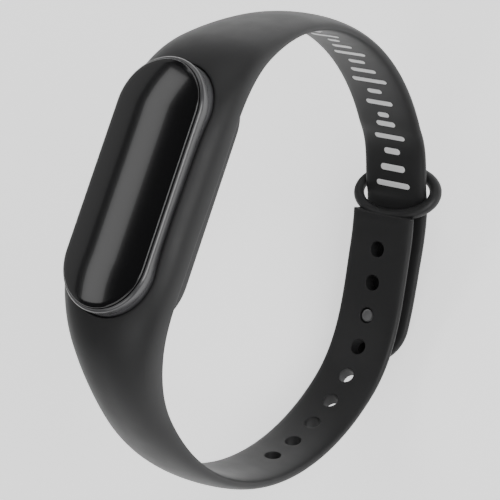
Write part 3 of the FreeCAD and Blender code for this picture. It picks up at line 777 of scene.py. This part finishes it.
def make_window():
    build = Builder()
    edge = CAPSULE_WIDTH / 2 - WINDOW_STEP
    rise = WINDOW_CROWN - WINDOW_RIM
    bulge = (edge ** 2 + rise ** 2) / (2 * rise)
    profile = [(-WINDOW_STEP - 2, WINDOW_UNDERSIDE), (-WINDOW_STEP, WINDOW_UNDERSIDE),
               (-WINDOW_STEP, WINDOW_UNDERSIDE + 0.5)]
    soft = 0.22
    for step in range(7):
        turn = math.radians(80 * step / 6)
        profile.append((-WINDOW_STEP - soft + soft * math.cos(turn),
                        WINDOW_RIM - soft + soft * math.sin(turn)))
    for step in range(1, 26):
        radius = (edge - soft) * (1 - step / 25)
        profile.append((radius - CAPSULE_WIDTH / 2,
                        WINDOW_CROWN - bulge + math.sqrt(bulge ** 2 - radius ** 2)))
    pill_rings(build, profile)
    made = build.finish("display_window_polished", glass_black, merge=0.001)
    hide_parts("display_window")
    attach(made, "capsule")
    return made


def make_collar():
    build = Builder()
    gap = 0.05
    profile = [(-1.9, SHELL_TOP), (0.0, SHELL_TOP), (0.0, SHELL_TOP + 0.05)]
    profile += [(0.0, BEZEL_TOP - 0.45), (-0.02, BEZEL_TOP - 0.36), (-0.08, BEZEL_TOP - 0.26)]
    profile += [(-0.2, BEZEL_TOP - 0.1), (-0.3, BEZEL_TOP - 0.03), (-0.38, BEZEL_TOP)]
    profile += [(-WINDOW_STEP + gap + 0.06, BEZEL_TOP), (-WINDOW_STEP + gap, BEZEL_TOP - 0.05)]
    profile += [(-WINDOW_STEP + gap, SHELL_TOP + 0.5), (-1.9, SHELL_TOP + 0.5), (-1.9, SHELL_TOP)]
    pill_rings(build, profile)
    made = build.finish("bezel_collar", bezel_black, merge=0.001)
    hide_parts("bezel_frame")
    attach(made, "capsule")
    return made


make_window()
make_collar()


# ---- the pale pattern printed on the stud arm's inner face ----
def print_bar(build, strap, distance, across, length, width=1.1, thick=0.045):
    """A round-ended stroke that lies across the strap on its inner face."""
    wide = ARM_WIDTH / 2
    radius = width / 2
    outline = []
    for end in (1, -1):
        for step in range(9):
            turn = math.radians(-90 + 180 * step / 8)
            x = end * (length / 2 - radius + radius * math.cos(turn))
            outline.append((x, end * radius * math.sin(turn)))

    def ring(shrink, height):
        made = []
        for x, s in outline:
            limit = length / 2 - radius
            core = min(max(x, -limit), limit)
            x, s = core + (x - core) * shrink, s * shrink
            u = (across + x) / wide
            made.append(build.point(strap.on_face(distance + s, u, "inner", -height)))
        return made

    levels = [(1.0, -0.01), (1.0, thick * 0.6), (0.93, thick), (0.5, thick), (0.0, thick)]
    rings = [ring(shrink, height) for shrink, height in levels]
    for first, second in zip(rings, rings[1:]):
        build.bridge(first, second)


PRINT_GROUPS = [
    ("print_upper", (stud_seams[0] - 1.0, stud_seams[1] + 0.8)),
    ("print_middle", (stud_seams[1] - 0.8, stud_seams[2] + 0.8)),
    ("print_lower", (stud_seams[2] - 0.8, KEEPER_AT + 4.0)),
]
PRINT_PITCH = 3.0
PULSE = [2.4, 4.0, 6.4, 3.4, 5.2, 7.2, 3.0, 5.6]


def make_prints():
    count = 0
    for name, (start, end) in PRINT_GROUPS:
        build = Builder()
        distance = start
        while distance >= end:
            length = PULSE[count % len(PULSE)]
            print_bar(build, stud_strap, distance, 0.0, length)
            distance -= PRINT_PITCH
            count += 1
        made = build.finish(name, print_white, merge=0.0005)
        if name == "print_lower":
            blend_to_tail(made)
        else:
            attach(made, "frame")


make_prints()

# ---- floor, lights and camera ----
floor_mesh = bpy.data.meshes.new("floor")
FLOOR_Z = size_before[0].z - 0.0005
reach = 3.0
floor_mesh.from_pydata([(-reach, -reach, FLOOR_Z), (reach, -reach, FLOOR_Z), (reach, reach, FLOOR_Z),
                        (-reach, reach, FLOOR_Z)], [], [(0, 1, 2, 3)])
floor = bpy.data.objects.new("floor", floor_mesh)
bpy.context.scene.collection.objects.link(floor)
floor_white = new_material("floor_pale", (0.9, 0.9, 0.9), 0.85, scale=3.0, variation=0.01)
floor_white.node_tree.nodes["Principled BSDF"].inputs["Emission Color"].default_value = (1, 1, 1, 1)
floor_white.node_tree.nodes["Principled BSDF"].inputs["Emission Strength"].default_value = 0.95
floor_mesh.materials.append(floor_white)

world = bpy.data.worlds.new("studio")
bpy.context.scene.world = world
world.use_nodes = True
world.node_tree.nodes["Background"].inputs["Color"].default_value = (1, 1, 1, 1)
world.node_tree.nodes["Background"].inputs["Strength"].default_value = 0.05


def panel(name, azimuth, elevation, away, wide, high, radiance):
    """A soft box that faces the band. Azimuth is measured from +X towards +Y."""
    light = bpy.data.lights.new(name, "AREA")
    light.shape = "RECTANGLE"
    light.size = wide
    light.size_y = high
    light.energy = radiance * wide * high * math.pi
    made = bpy.data.objects.new(name, light)
    turn, tilt = math.radians(azimuth), math.radians(elevation)
    direction = Vector((math.cos(tilt) * math.cos(turn), math.cos(tilt) * math.sin(turn),
                        math.sin(tilt)))
    made.location = direction * away
    made.rotation_mode = "QUATERNION"
    made.rotation_quaternion = direction.to_track_quat("Z", "Y")
    bpy.context.scene.collection.objects.link(made)
    return made


panel("band_light", 172, 54, 1.0, 0.9, 0.3, 2.0)
panel("low_light", 172, 22, 1.0, 1.4, 0.6, 0.45)
panel("key_light", 8, 38, 1.1, 0.9, 0.6, 6.0)
panel("front_light", -80, 40, 1.2, 0.9, 0.6, 3.0)
panel("back_light", 95, 35, 1.2, 0.8, 0.6, 2.0)

camera_data = bpy.data.cameras.new("camera")
camera = bpy.data.objects.new("camera", camera_data)
bpy.context.scene.collection.objects.link(camera)
bpy.context.scene.camera = camera
CAMERA_AZIMUTH, CAMERA_ELEVATION = 78.49, 53.81
CAMERA_RIGHT = (0.7935, 0.3100, -0.5237)
CAMERA_AWAY = 0.30674
CAMERA_LEFT, CAMERA_DOWN = 0.00347, 0.00087
az, el = math.radians(CAMERA_AZIMUTH), math.radians(CAMERA_ELEVATION)
back = Vector((math.sin(az) * math.cos(el), -math.cos(az) * math.cos(el), math.sin(el)))
upward = back.cross(Vector(CAMERA_RIGHT)).normalized()
right = upward.cross(back).normalized()
camera.matrix_world = Matrix((
    (right.x, upward.x, back.x, 0), (right.y, upward.y, back.y, 0),
    (right.z, upward.z, back.z, 0), (0, 0, 0, 1)))
camera.location = back * CAMERA_AWAY - right * CAMERA_LEFT - upward * CAMERA_DOWN
camera_data.sensor_width = 36.0
camera_data.lens = 130.46
camera_data.clip_start = 0.01
camera_data.clip_end = 20.0
